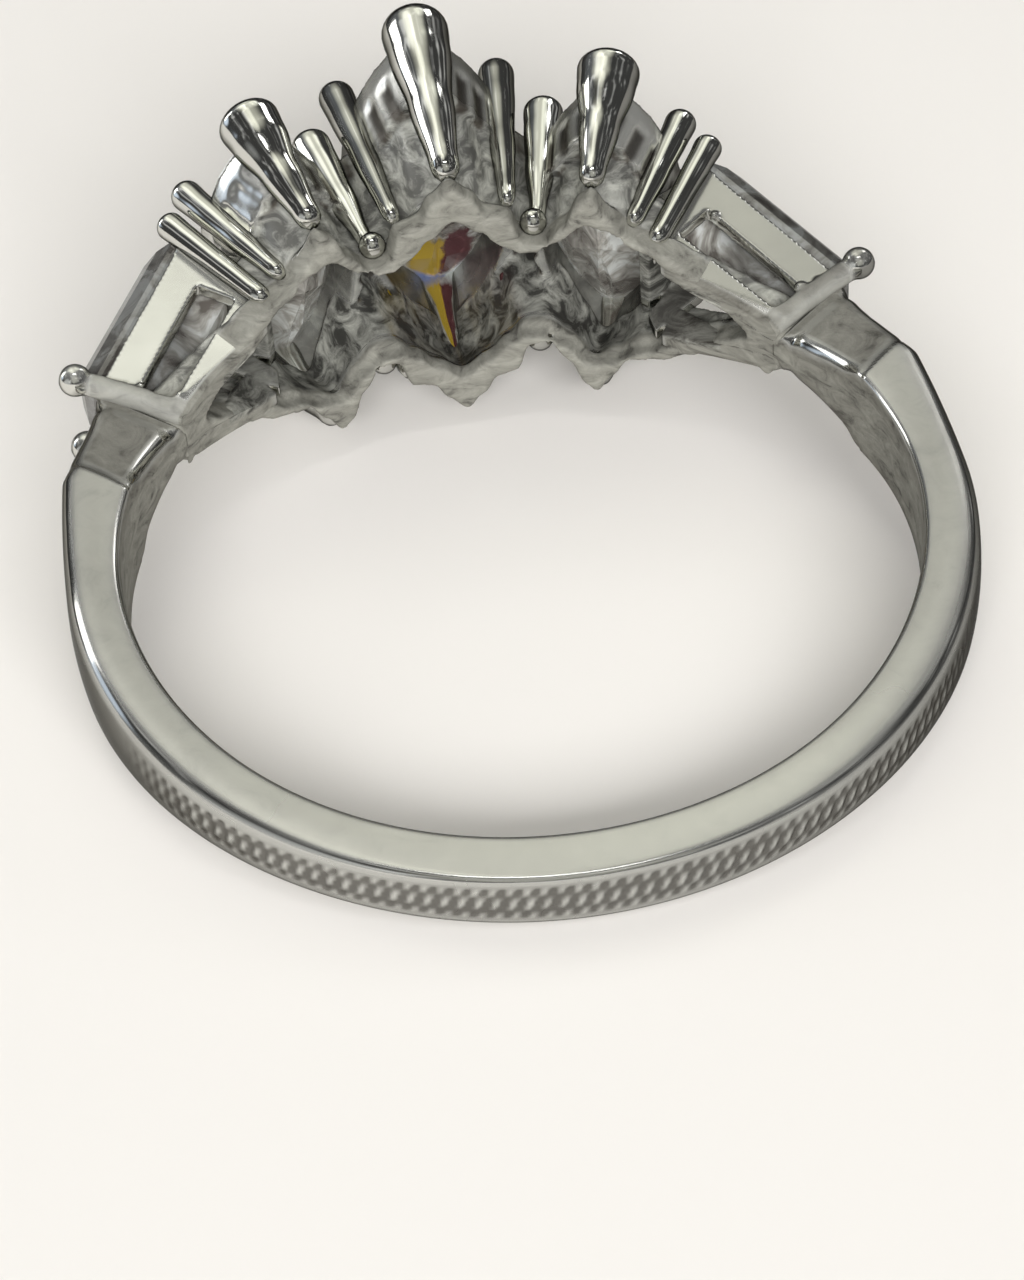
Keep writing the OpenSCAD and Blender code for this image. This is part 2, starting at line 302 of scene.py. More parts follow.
def shank_side(angle):
    """Near side of a section: (radius, height) stops from the hole to the outer face."""
    a = math.radians(angle)
    side_on = math.sin(a) ** 2
    r1 = outer_r(angle)
    wide = r1 - FINGER_R
    off = from_head(angle)
    horn = between(HORN, off)
    edge_in = min(EDGE["plain"] + EDGE["inner_horn"] * horn, wide / 3)
    edge_out = min(EDGE["plain"] + EDGE["outer_side"] * side_on + EDGE["outer_horn"] * horn,
                   wide / 3)
    stops = []
    for k in range(SIDE_STEPS + 1):
        t = 0.5 - 0.5 * math.cos(math.pi * k / SIDE_STEPS)
        r = FINGER_R + wide * t
        x, y = r * math.sin(a), r * math.cos(a)
        z = half_width(y)
        d = scooped(x, y) - z
        crowned = SIDE_CROWN["back"] + SIDE_CROWN["side"] * side_on
        z = (min(z, z + d) - between(LEDGE, d)) * between(TUCK, off)
        z -= crowned * (2 * t - 1) ** 2 * between([(-0.1, 0), (0.05, 1)], d)
        z -= edge_drop(edge_in, r - FINGER_R)
        z -= edge_drop(edge_out, r1 - r)
        stops.append((r, max(z, THINNEST)))
    return stops


def shank_section(angle):
    """Closed section of the shank: points of the ring, and the relief at each."""
    near = [(r, z, 0) for r, z in shank_side(angle)]
    far = [(r, -z, 0) for r, z, _ in reversed(near)]
    r1, zo, _ = near[-1]
    face = []
    for k in range(1, FACE_STEPS):
        z = zo * (1 - 2 * k / FACE_STEPS)
        up = stitched(angle, z, zo)
        face.append((r1 + FACE_CROWN * (1 - (z / zo) ** 2) + up, z, up))
    zi = near[0][1]
    inner = [(FINGER_R, zi * (q / 3 - 1), 0) for q in range(1, INNER_POINTS + 1)]
    loop = near + face + far + inner
    return [around(r, angle, z) for r, z, _ in loop], [up for _, _, up in loop]


def shoulder_skin(p, normal):
    """The finger's side is as cast; the scooped facets are satin."""
    cast = as_cast(p, normal, 8.605, 8.64)
    facet = scooped(p.x, p.y) - half_width(p.y)
    satin = between([(-0.12, 1), (0.0, 0)], facet) * between([(0.88, 0), (0.95, 1)], abs(normal.z))
    sideways = p.x ** 2 / (p.x ** 2 + p.y ** 2)
    strip = (0.22 + 0.2 * sideways) * between([(0.8, 0), (0.95, 1)], abs(normal.z))
    face = 0.3 * between([(0.4, 1), (0.7, 0)], abs(normal.z)) * between([(0, 1), (5, 0)], p.y)
    return max(cast, strip, face, 0.95 * satin if p.y > 0 else 0)


SHANK_FROM = 51.4
SHANK_SWEEP = 257.2
SHANK_STEP = 0.4
# Painted shade on the shank: on its plain back, more on its sides, and deep in the relief.
SHANK_SHADE = dict(back=0.14, side=0.16, relief=0.75)


def shank_shades(angle, ups):
    """Painted shade on a section: dark deep in the relief, and a little on the plain metal, more
    towards its sides.
    """
    plain = SHANK_SHADE["back"] + SHANK_SHADE["side"] * math.sin(math.radians(angle)) ** 2
    tones = []
    for up in ups[:-INNER_POINTS]:
        low = min(1, max(0, 0.4 - up / RELIEF["high"]))
        tones.append(SHANK_SHADE["relief"] * low if up else plain)
    return tones + [0] * INNER_POINTS


def shank():
    """Shank and shoulders, one skin lofted round the finger from seat to seat."""
    form = Form()
    angles = [SHANK_FROM + SHANK_STEP * k for k in range(int(SHANK_SWEEP / SHANK_STEP) + 1)]
    sections = [shank_section(angle) for angle in angles]
    form.loft([points for points, _ in sections])
    obj = form.piece("shank")
    finish(obj, shoulder_skin)
    # Painted shade of the shank's relief and plain metal, stored for the silver's colour.
    keep(obj, "painted_darkening", [tone for angle, (_, ups) in zip(angles, sections)
                         for tone in shank_shades(angle, ups)])
    return obj


# Gallery rails, collars and prongs: the crown

RAIL_OUT = [(0, 3.35), (3, 2.95), (5, 2.45), (8.4, 2.32), (10.4, 1.5), (13.2, 1.45), (16.4, 2.0),
            (18.8, 2.75), (20.6, 2.95), (23.2, 2.4), (26, 1.8), (31.5, 1.62), (36, 1.25),
            (41, 0.85), (47, 0.66), (53, 0.48)]
RAIL_IN = [(0, 2.35), (4, 1.95), (7, 1.5), (10, 1.28), (12, 1.28), (15, 1.55), (20, 2.1),
           (23, 2.0), (28, 1.55), (34, 1.08), (38, 0.75), (42, 0.45), (45, 0.2), (47, 0)]
RAIL_TOP = [(0, 9.25), (10, 9.3), (12, 9.35), (20, 9.25), (28, 9.3), (34, 9.5), (42, 9.8),
            (50, 9.9)]
RAIL_END = 53


def rail(form, near):
    """One scalloped rail round the head, on the near or far side of the stones."""
    rings = []
    for k in range(-2 * RAIL_END, 2 * RAIL_END + 1):
        angle = k / 2
        a = abs(angle)
        zi, zo, top = between(RAIL_IN, a), between(RAIL_OUT, a), between(RAIL_TOP, a)
        soft = min(0.16, (zo - zi) / 3)
        zo += 0.03 * noise.noise(Vector((angle * 0.4, near * 3, 1)))
        loop = [(FINGER_R, zi), (FINGER_R, zo - soft / 2), (FINGER_R + soft / 2, zo),
                (top - soft, zo), (top, zo - soft), (top, zi + soft), (top - soft, zi)]
        rings.append([around(r, angle, near * z) for r, z in loop])
    form.loft(rings)


def marquise_outline(half_long, half_wide, grow, n=24):
    """Outline of a marquise with pointed ends, grown by a skin."""
    r = (half_long ** 2 + half_wide ** 2) / (2 * half_wide) + grow
    long = math.sqrt(r * r - (r - half_wide - grow) ** 2)
    ys = [long * math.cos(math.pi * k / n) for k in range(n + 1)]
    xs = [math.sqrt(max(0, r * r - y * y)) - r + half_wide + grow for y in ys]
    right = list(zip(xs, ys))
    return right + [(-x, y) for x, y in right[-2:0:-1]]


# Collar flutes: pitch and depth; dark is the shade painted in them, of which none is painted left
# of plain_left_of.
FLUTE = dict(pitch=0.52, deep=0.11, dark=0.85, plain_left_of=-4.2)


def collar(form, name):
    """Open wall under a marquise's girdle, a little narrower at its foot."""
    angle, half_long, half_wide, girdle, high = MARQUISES[name]
    levels = [  # growth, distance from the axis, share of the flutes' depth
        (0.10, girdle + 0.02, 0), (0.10, girdle - 0.3 * high, 0), (0.08, girdle - 0.42 * high, 1),
        (-0.04, girdle - high, 1), (-0.34, girdle - high + 0.05, 0),
        (-0.3, girdle - 0.5 * high, 0), (-0.22, girdle - 0.04, 0)]
    rings = []
    for grow, out, share in levels:
        ring = []
        for x, y in marquise_outline(half_long, half_wide, grow, 72):
            dip = share * FLUTE["deep"] * (1 + math.cos(2 * math.pi * y / FLUTE["pitch"])) / 2
            ring.append(facing(angle, x - math.copysign(min(dip, abs(x)), x), y, out))
        rings.append(ring)
    form.loft(rings, loop=True)


WALL_FOOT = [(0, 2.75), (4, 2.25), (7, 1.85), (10, 1.42), (13, 1.4), (16, 1.75), (20, 2.4),
             (23, 2.15), (28, 1.65), (33, 1.35), (38, 1.05), (45, 0.75)]
WALL_HEAD = [(0, 3.6), (3, 3.1), (6, 2.35), (8.5, 1.75), (11.5, 1.45), (14, 1.75), (17, 2.5),
             (19.6, 3.05), (22.5, 2.5), (26, 1.75), (33, 1.5), (38, 1.2), (45, 0.95)]
WALL_TOP_R = [(0, 12.1), (6, 12.3), (9, 12.8), (11.5, 12.7), (14, 11.6), (20, 10.9),
              (33, 10.4), (38, 10.1), (45, 9.9)]
WALL_FOOT_R = 9.1
WALL_MID_R = 10.1
WALL_THICK = 0.24
WALL_END = {1: 31, -1: 39}


def gallery_wall(form, near):
    """Scalloped wall that joins a rail to the feet of the collars."""
    rings = []
    for k in range(-2 * WALL_END[near], 2 * WALL_END[near] + 1):
        a = abs(k / 2)
        foot, head, top = (between(t, a) for t in (WALL_FOOT, WALL_HEAD, WALL_TOP_R))
        belly = (foot + head) / 2 + 0.12 * math.sin(math.pi * min(1, a / 40))
        rings.append([around(r, k / 2, near * z) for r, z in (
            (WALL_FOOT_R, foot), (WALL_MID_R, belly), (top, head), (top, head - WALL_THICK),
            (WALL_MID_R, belly - WALL_THICK), (WALL_FOOT_R, foot - WALL_THICK))])
    form.loft(rings)


# How finely a prong is stepped along its length, over its dome and round it
PRONG_STEPS = 20
DOME_STEPS = 9
PRONG_SIDES = 32


def prong_radius(widths, t):
    """Radius of a prong at a share of its length; it grows from a round foot to the head."""
    foot, waist, top = widths
    return between([(0, foot * 0.5), (0.05, foot * 0.9), (0.1, foot), (0.5, waist),
                    (0.86, top * 0.93), (1, top)], t)


def prong(form, a, b, widths, flat):
    """Drop-shaped prong from point a to point b.

    widths: radius at the foot, half way up and at the head; flat: height of its dome."""
    top = widths[2]
    axis = (b - a).normalized()
    stops = [(a + (b - a) * k / PRONG_STEPS, prong_radius(widths, k / PRONG_STEPS))
             for k in range(PRONG_STEPS + 1)]
    for k in range(1, DOME_STEPS + 1):
        s = math.pi / 2 * k / DOME_STEPS
        stops.append((b + axis * flat * math.sin(s), max(0.01, top * math.cos(s))))
    form.rod(stops, PRONG_SIDES)


CROWN_PRONGS = [  # base, head, radii from foot to head, dome, both sides?
    ((9.15, 0, 3.26), (13.85, 0, 3.93), (0.35, 0.54, 0.8), 0.62, False),
    ((9.15, 8.3, 2.36), (14.7, 7.6, 1.86), (0.22, 0.32, 0.44), 0.4, True),
    ((9.15, 20.4, 2.95), (12.45, 19.8, 3.62), (0.31, 0.47, 0.74), 0.42, True),
    ((9.15, 12.4, 1.8), (13.1, 12.3, 1.88), (0.2, 0.36, 0.48), 0.36, True),
    ((9.15, 26.3, 1.93), (13.05, 26.8, 1.88), (0.22, 0.3, 0.38), 0.33, True),
]
VALLEY_BEAD = (9.2, 11.8, 1.76, 0.32)  # distance, angle, height, radius
SEAT_PRONG = ((-0.85, -2.9, 1.62), (-2.52, 0.3, 1.7), (0.25, 0.28, 0.34), 0.27)


def mirror_bright(p, normal):
    """A prong is polished all over."""
    return 0.0


def prongs():
    """Every prong of the five stones, and the beads in the valleys between them."""
    form = Form()
    for near in (1, -1):
        for (r0, a0, z0), (r1, a1, z1), widths, flat, paired in CROWN_PRONGS:
            for side in (1, -1) if paired else (1,):
                prong(form, around(r0, side * a0, near * z0), around(r1, side * a1, near * z1),
                      widths, flat)
        (u0, w0, z0), (u1, w1, z1), widths, flat = SEAT_PRONG
        for side in (1, -1):
            prong(form, on_seat(u0, w0, near * z0, side), on_seat(u1, w1, near * z1, side),
                  widths, flat)
            r, a, z, size = VALLEY_BEAD
            form.ball(around(r, side * a, near * z), size)
    obj = form.piece("prongs")
    finish(obj, mirror_bright)
    return obj


def crown():
    """Rails, gallery walls and collars, fused and softened as cast metal is."""
    form = Form()
    for near in (1, -1):
        rail(form, near)
        gallery_wall(form, near)
    for name in MARQUISES:
        collar(form, name)
    obj = form.piece("crown")
    settle(obj, ("REMESH", dict(mode="VOXEL", voxel_size=VOXEL / 1000)),
           ("SMOOTH", dict(factor=0.5, iterations=5)))
    finish(obj, crown_skin, crown_shade, pits=0.02, painted_darkening=flute_shade)
    return obj


def wall_part(p):
    """How surely a point lies on a gallery wall, between a rail and the collars' feet."""
    r, angle = math.hypot(p.x, p.y), abs(math.degrees(math.atan2(p.x, p.y)))
    foot, head, top = (between(t, angle) for t in (WALL_FOOT, WALL_HEAD, WALL_TOP_R))
    share = (r - 9.3) / (top - 9.3)
    off = abs(abs(p.z) - foot - (head - foot) * share)
    return between([(0, 0), (0.1, 1), (0.92, 1), (1, 0)], share) * between(
        [(0.32, 1), (0.45, 0)], off)


def crown_skin(p, normal):
    """Rails are as cast, gallery walls and collars satin."""
    satin = between([(10.2, 0), (10.8, 0.3 if p.x > FLUTE["plain_left_of"] else 0.12)],
                    math.hypot(p.x, p.y))
    return max(as_cast(p, normal, 9.25, 9.5), 0.45 * wall_part(p), satin)


def flute_shade(p, normal):
    """Painted shade in the flutes of a collar's outer face: how dark it is."""
    wave = between([(-0.8, 0), (0.6, 1)], math.cos(2 * math.pi * p.z / FLUTE["pitch"]))
    if wave <= 0 or p.x < FLUTE["plain_left_of"] or p.y < 8:
        return 0
    part = 0
    for angle, _, half_wide, girdle, high in MARQUISES.values():
        way = around(1, angle, 0)
        out, across = p.dot(way), p.x * way.y - p.y * way.x
        outward = (normal.x * way.y - normal.y * way.x) * math.copysign(1, across)
        band = between([(girdle - high - 0.1, 0), (girdle - high, 1), (girdle - 0.5 * high, 1),
                        (girdle - 0.36 * high, 0)], out)
        part = max(part, band * between([(0.1, 0), (0.4, 1)], outward)
                   * between([(half_wide, 1), (half_wide + 0.3, 0)], abs(across)))
    return FLUTE["dark"] * part * wave


def crown_shade(p, normal):
    """Painted shade: gallery walls and the insides of the collars are painted dark, above all on
    their inner side.
    """
    toward_hole = -(normal.x * p.x + normal.y * p.y) / math.hypot(p.x, p.y)
    inner = between([(-0.2, 0), (0.3, 1)], toward_hole - normal.z * math.copysign(1, p.z))
    collar_inside = between([(9.6, 0), (10.6, 0.35)], p.y) * between([(0.2, 0), (0.5, 1)], inner)
    wall = wall_part(p) * (0.8 + 0.15 * inner)
    return max(wall, collar_inside * (1 if abs(p.z) < 3 else 0))


# Baguette seats

SEAT_HALF = [(-2.25, 1.5), (2.45, 0.815)]
SEAT_WALL = 0.34
SEAT_FINER = 0.56
SEAT_STRIPS = [  # corners (u, w): strip under the girdle, strip by the finger, wide end
    [(-2.2, -0.03), (2.15, -0.03), (2.15, -0.95), (-2.1, -0.95)],
    [(-1.25, -2.0), (2.15, -1.85), (2.15, -2.5), (-0.6, -3.0)],
    [(-2.2, -0.9), (-1.2, -0.9), (-0.85, -2.95), (-1.5, -2.6)],
]
SEAT_LUMPS = {1: [(1.98, -0.98, 0.17), (2.1, -0.5, 0.15), (2.15, -2.25, 0.18), (-0.95, -0.95, 0.1)],
              -1: [(2.4, -2.3, 0.13), (1.9, -1.9, 0.1), (1.95, -0.95, 0.09)]}


def seat_half(u):
    """Half the width of a seat at a place along it."""
    (u0, h0), (u1, h1) = SEAT_HALF
    return h0 + (h1 - h0) * (u - u0) / (u1 - u0)


def wall_z(u, w):
    """Outer height of a side wall, which leans in where its narrow end meets the rail."""
    return seat_half(u) - (0.26 * min(1, max(0, -w - 1.8) / 0.6) if u > 1 else 0)


def seat_strip(form, side, near, corners):
    """Strip of a side wall, given by its four corners (u, w) in the wall's plane."""
    outer = [on_seat(u, w, near * wall_z(u, w), side) for u, w in corners]
    inner = [on_seat(u, w, near * (wall_z(u, w) - SEAT_WALL), side) for u, w in corners]
    form.block(outer + inner)


END_BAR = [  # w, u, z, thickness
    (-2.35, 2.22, 0.42, 0.36), (-1.2, 2.25, 0.76, 0.5), (0.0, 2.28, 0.88, 0.52),
    (0.55, 2.36, 0.98, 0.42)]
END_BALL = dict(at=(2.34, 0.08, 0.98), rise=(0.08, 0.76, 0.08), r=0.38)
SEAT_ENDS = [(-2.25, -1.9, -2.2), (2.02, 2.42, -1.9)]  # from u, to u, depth
BAR_SIDES = 12


def squared(x):
    """A sine or cosine made fuller, which rounds a bar's corners and leaves its faces flat."""
    return math.copysign(abs(x) ** 0.75, x)


def end_bar(form, side, near):
    """Flattened bar across the seat's narrow end, from the finger's hole to its ball."""
    rings = []
    for w, u, z, thick in END_BAR:
        ring = []
        for k in range(BAR_SIDES):
            a = 2 * math.pi * k / BAR_SIDES
            du, dz = 0.25 * squared(math.cos(a)), thick / 2 * squared(math.sin(a))
            ring.append(on_seat(u + du, w, near * (z + dz), side))
        rings.append(ring)
    form.loft(rings)
    stops = []
    for k in range(13):
        t = k / 12
        u, w, z = (start + rise * t for start, rise in zip(END_BALL["at"], END_BALL["rise"]))
        stops.append((on_seat(u, w, near * z, side),
                      END_BALL["r"] * math.sqrt(max(0.004, 1 - (2 * t - 1) ** 2))))
    form.rod(stops)


def seat(side, name):
    """Open seat of one baguette: two slotted side walls, two end walls and two end bars."""
    form = Form()
    for near in (1, -1):
        for corners in SEAT_STRIPS:
            seat_strip(form, side, near, corners)
        end_bar(form, side, near)
        for u, w, size in SEAT_LUMPS[side]:
            form.ball(on_seat(u, w, near * (wall_z(u, w) - 0.02), side), size)
    for u0, u1, deep in SEAT_ENDS:
        form.block([on_seat(u, w, z * seat_half(u), side)
                    for u in (u0, u1) for w, z in ((0, 1), (0, -1), (deep, -1), (deep, 1))])
    obj = form.piece(name)
    settle(obj, ("REMESH", dict(mode="VOXEL", voxel_size=VOXEL * SEAT_FINER / 1000)),
           ("SMOOTH", dict(factor=0.5, iterations=5)))
    finish(obj, seat_skin, seat_shade, painted_darkening=right_seat_shade if side > 0 else None)
    return obj


def seat_place(p):
    """Where a point lies along a seat and out of it, as on_seat gives them."""
    a = math.radians(SEAT_FACING)
    mid = around(SEAT_AT[0], SEAT_AT[1], 0)
    x, y = abs(p.x) - mid.x, p.y - mid.y
    return x * math.cos(a) - y * math.sin(a), x * math.sin(a) + y * math.cos(a)


def seat_skin(p, normal):
    """A seat is satin on its side walls, and duller on its end bars and inside."""
    u, w = seat_place(p)
    bar = between([(1.95, 0), (2.05, 0.75)], u) * between([(0.0, 1), (0.2, 0)], w)
    wall = 0.22 * abs(normal.z) ** 3
    return max(as_cast(p, normal, 8.7, 8.8), bar, wall, seat_shade(p, normal))


def right_seat_shade(p, normal):
    """Painted shade: the right seat's walls are painted greyer than the left one's."""
    return 0.4 * abs(normal.z) ** 3


def seat_shade(p, normal):
    """Painted shade: the room inside a seat, under its stone, is painted dark."""
    u, w = seat_place(p)
    deep = wall_z(u, w) - SEAT_WALL
    return between([(deep - 0.05, 0.85), (deep + 0.1, 0)], abs(p.z)) * between(
        [(-0.4, 1), (0, 0)], w)


# Materials

class Nodes:
    """Short ways to add nodes to a tree; each gives back a node or the socket that it ends in."""

    def __init__(self, tree):
        self.tree = tree

    def node(self, kind, inputs=None, **values):
        n = self.tree.nodes.new(kind)
        for key, value in values.items():
            setattr(n, key, value)
        for key, value in (inputs or {}).items():
            if isinstance(value, bpy.types.NodeSocket):
                self.tree.links.new(value, n.inputs[key])
            else:
                n.inputs[key].default_value = value
        return n

    def mixed(self, factor, low, high):
        """Colour that goes from low to high as the factor goes from 0 to 1."""
        sockets = {"Factor": factor, 6: low, 7: high}
        return self.node("ShaderNodeMix", sockets, data_type="RGBA").outputs[2]

    def spread(self, value, low, high, to_low=0.0, to_high=1.0):
        """A value moved from the range low to high into another, and held there."""
        sockets = {"Value": value, "From Min": low, "From Max": high,
                   "To Min": to_low, "To Max": to_high}
        return self.node("ShaderNodeMapRange", sockets).outputs[0]

    def vector(self, operation, *inputs):
        sockets = dict(enumerate(inputs))
        return self.node("ShaderNodeVectorMath", sockets, operation=operation).outputs[0]

    def scaled(self, vector, factor):
        sockets = {0: vector, "Scale": factor}
        return self.node("ShaderNodeVectorMath", sockets, operation="SCALE").outputs[0]

    def stored(self, name):
        """A number that keep() stored for each vertex."""
        return self.node("ShaderNodeAttribute", attribute_name=name).outputs["Fac"]


class Shader(Nodes):
    """Node material, whose Principled shader is its base."""

    def __init__(self, name):
        self.material = bpy.data.materials.new(name)
        self.material.use_nodes = True
        super().__init__(self.material.node_tree)
        self.base = self.tree.nodes["Principled BSDF"]
        self.place = self.node("ShaderNodeTexCoord").outputs["Object"]

    def set(self, **values):
        for key, value in values.items():
            socket = self.base.inputs[key.replace("_", " ")]
            if isinstance(value, bpy.types.NodeSocket):
                self.tree.links.new(value, socket)
            else:
                socket.default_value = value


CLOUD_INPUTS = [
    ("Place", "Vector"), ("Scale", "Float"), ("Detail", "Float"), ("Roughness", "Float"),
    ("Distortion", "Float"), ("Dark", "Color"), ("Middle", "Color"), ("Light", "Color"),
    ("Dark Below", "Float"), ("Middle At", "Float"), ("Light Above", "Float")]
CLOUD_OUTPUTS = [("Color", "Color"), ("Cloud", "Float"), ("Swirl", "Color")]


def clouding():
    """Group of nodes: clouds in three tones, for cast silver and for the reflections painted in a
    stone.
    """
    tree = bpy.data.node_groups.new("clouding", "ShaderNodeTree")
    for way, sockets in (("INPUT", CLOUD_INPUTS), ("OUTPUT", CLOUD_OUTPUTS)):
        for name, kind in sockets:
            tree.interface.new_socket(name, in_out=way, socket_type="NodeSocket" + kind)
    n = Nodes(tree)
    given = n.node("NodeGroupInput").outputs
    clouds = n.node("ShaderNodeTexNoise", {
        "Vector": given["Place"], "Scale": given["Scale"], "Detail": given["Detail"],
        "Roughness": given["Roughness"], "Distortion": given["Distortion"]}).outputs
    from_dark = n.spread(clouds["Fac"], given["Dark Below"], given["Middle At"])
    to_light = n.spread(clouds["Fac"], given["Middle At"], given["Light Above"])
    tone = n.mixed(to_light, n.mixed(from_dark, given["Dark"], given["Middle"]), given["Light"])
    n.node("NodeGroupOutput", {"Color": tone, "Cloud": clouds["Fac"], "Swirl": clouds["Color"]})
    return tree


CAST_CLOUDS = {
    "Scale": 1100, "Detail": 6, "Roughness": 0.68, "Distortion": 0.9,
    "Dark": (0.06, 0.057, 0.05, 1), "Middle": (0.22, 0.215, 0.188, 1),
    "Light": (0.33, 0.325, 0.285, 1), "Dark Below": 0.3, "Middle At": 0.44, "Light Above": 0.66}
# Painted reflections in a stone: mottled from dark to near white.
STONE_REFLECTIONS = {
    "Scale": 900, "Detail": 4, "Roughness": 0.6, "Distortion": 1.2,
    "Dark": (0.2, 0.18, 0.16, 1), "Middle": (0.55, 0.535, 0.49, 1),
    "Light": (0.95, 0.97, 0.94, 1), "Dark Below": 0.36, "Middle At": 0.5, "Light Above": 0.62}
# Only the first colour is the metal's own; the next four are painted shade: a dark rim, shade in
# hollows from dark to pale, and darkening in grooves.
SILVER = dict(face=(0.9, 0.9, 0.85, 1), rim=(0.16, 0.155, 0.14, 1),
              inner_shade=(0.035, 0.034, 0.03, 1), inner_shade_light=(0.5, 0.5, 0.45, 1),
              painted_darkening=(0.055, 0.045, 0.036, 1), specular=(0.25, 0.25, 0.24, 1))


def silver_color(s, clouds, cast, painted_shade):
    """Bright with a painted dark rim, streaked where cast, with painted shade in hollows, and
    painted darker in grooves.
    """
    streaks = s.node("ShaderNodeMapping", {"Vector": s.place, "Scale": (1, 1, 2.6)}).outputs[0]
    skin = s.node("ShaderNodeGroup", {"Place": streaks, **CAST_CLOUDS}, node_tree=clouds).outputs
    # Painted dark rim: the colour darkens at grazing angles, a painted dark reflection at the
    # metal's edges.
    edge = s.node("ShaderNodeLayerWeight", {"Blend": 0.5}).outputs["Facing"]
    clean = s.mixed(s.spread(edge, 0.5, 0.85), SILVER["face"], SILVER["rim"])
    # Painted shade in hollows, mottled from dark to pale.
    inner_shade = s.mixed(s.spread(skin["Cloud"], 0.42, 0.66), SILVER["inner_shade"], SILVER["inner_shade_light"])
    sunk = s.mixed(painted_shade, s.mixed(cast, clean, skin["Color"]), inner_shade)
    # Painted darkening: deep in the relief, on the shank's plain metal, in the flutes and on the
    # right seat.
    return s.mixed(s.stored("painted_darkening"), sunk, SILVER["painted_darkening"])


def silver_finish(clouds):
    """Polished rhodium silver that turns matt, grey and streaked where it is as cast."""
    s = Shader("silver_finish")
    cast, painted_shade = s.stored("as_cast"), s.stored("painted_shade")
    waves = s.node("ShaderNodeTexNoise", {"Vector": s.place, "Scale": 420, "Detail": 2})
    grain = s.node("ShaderNodeTexNoise", {"Vector": s.place, "Scale": 3800, "Detail": 4,
                                          "Roughness": 0.6})
    dull = s.node("ShaderNodeMath", {0: cast, 1: painted_shade}, operation="MAXIMUM").outputs[0]
    shine = s.spread(waves.outputs["Fac"], 0.35, 0.75, 0.07, 0.13)
    rough = s.node("ShaderNodeMix", {"Factor": cast, 2: shine, 3: 0.68}).outputs[0]
    lumps = s.node("ShaderNodeMix", {"Factor": s.spread(cast, 0.3, 1), 2: waves.outputs["Fac"],
                                     3: grain.outputs["Fac"]}).outputs[0]
    bump = s.node("ShaderNodeBump", {"Height": lumps, "Strength": 0.4, "Distance": 0.00008})
    s.set(Base_Color=silver_color(s, clouds, cast, painted_shade), Roughness=rough,
          Metallic=s.spread(dull, 0, 1, 1.0, 0.25), Normal=bump.outputs[0],
          Specular_Tint=SILVER["specular"])
    return s.material


# Painted fire: patches of coloured light painted into the centre stone, from here out to its reach.
FIRE_AT = TO_WORLD @ Vector((0.1, 12.9, -2.5))
FIRE_REACH = (0.0009, 0.0016, 0.0018)
FIRE_TORN = 0.0006
FIRE = dict(high_left=(0.7, 0.48, 0.05, 1), high_right=(0.15, 0.04, 0.05, 1),
            low_left=(0.28, 0.36, 0.7, 1), low_right=(0.92, 0.98, 1.0, 1))


def with_painted_fire(s, clouds):
    """The colour of the painted reflections, with four painted patches of fire, coloured flashes of
    light, that meet at one point of the stone.
    """
    jag = s.vector("ADD", clouds["Swirl"], (-0.5,) * 3)
    torn = s.vector("MULTIPLY_ADD", jag, (FIRE_TORN,) * 3, s.place)
    share = s.vector("DIVIDE", s.vector("SUBTRACT", torn, FIRE_AT), FIRE_REACH)
    away = s.node("ShaderNodeVectorMath", {0: share}, operation="LENGTH").outputs["Value"]
    axes = s.node("ShaderNodeSeparateXYZ", {"Vector": share}).outputs
    right = s.spread(axes["X"], -0.05, 0.05)
    high_fire = s.mixed(right, FIRE["high_left"], FIRE["high_right"])
    low_fire = s.mixed(right, FIRE["low_left"], FIRE["low_right"])
    fire = s.mixed(s.spread(axes["Z"], -0.15, -0.3), high_fire, low_fire)
    return s.mixed(s.spread(away, 0.9, 1.05, 1.0, 0.0), clouds["Color"], fire)


# Painted shade: baguettes, shut in their seats, are painted dimmer away from the middle.
STONE_SHADE = dict(start=0.0055, end=0.0065, dim=0.28)


def clear_stone(clouds):
    """Clear cut stone, mottled by painted reflections inside, and painted dimmer in a baguette's
    seat, as shade.
    """
    s = Shader("clear_stone")
    mottle = s.node("ShaderNodeGroup", {"Place": s.place, **STONE_REFLECTIONS}, node_tree=clouds)
    apart = s.node("ShaderNodeSeparateXYZ", {"Vector": s.place}).outputs["X"]
    sideways = s.node("ShaderNodeMath", {0: apart}, operation="ABSOLUTE").outputs[0]
    stone_shade = s.spread(sideways, STONE_SHADE["start"], STONE_SHADE["end"], 1.0, STONE_SHADE["dim"])
    s.set(Base_Color=s.scaled(with_painted_fire(s, mottle.outputs), stone_shade), Roughness=0.02,
          IOR=1.9, Transmission_Weight=0.3)
    return s.material


def pale_surface():
    """Pale floor that mirrors see painted darker, to the right above all, as the ring does: a
    painted dark reflection.
    """
    s = Shader("pale_surface")
    apart = s.node("ShaderNodeSeparateXYZ", {"Vector": s.place}).outputs["X"]
    # Painted dark reflection: mirrored rays see the floor darker, more so to the right.
    mirrored = s.node("ShaderNodeLightPath").outputs["Is Glossy Ray"]
    seen = s.node("ShaderNodeMix", {"Factor": mirrored, 2: 1.0,
                                    3: s.spread(apart, -0.012, 0.012, 0.8, 0.25)}).outputs[0]
    s.set(Base_Color=s.scaled((0.885, 0.855, 0.82), seen), Roughness=0.7)
    return s.material


def wear(obj, material):
    """Gives an object one material all over."""
    obj.data.materials.clear()
    obj.data.materials.append(material)


# Stage, light and camera

FLOOR_HALF = 0.6


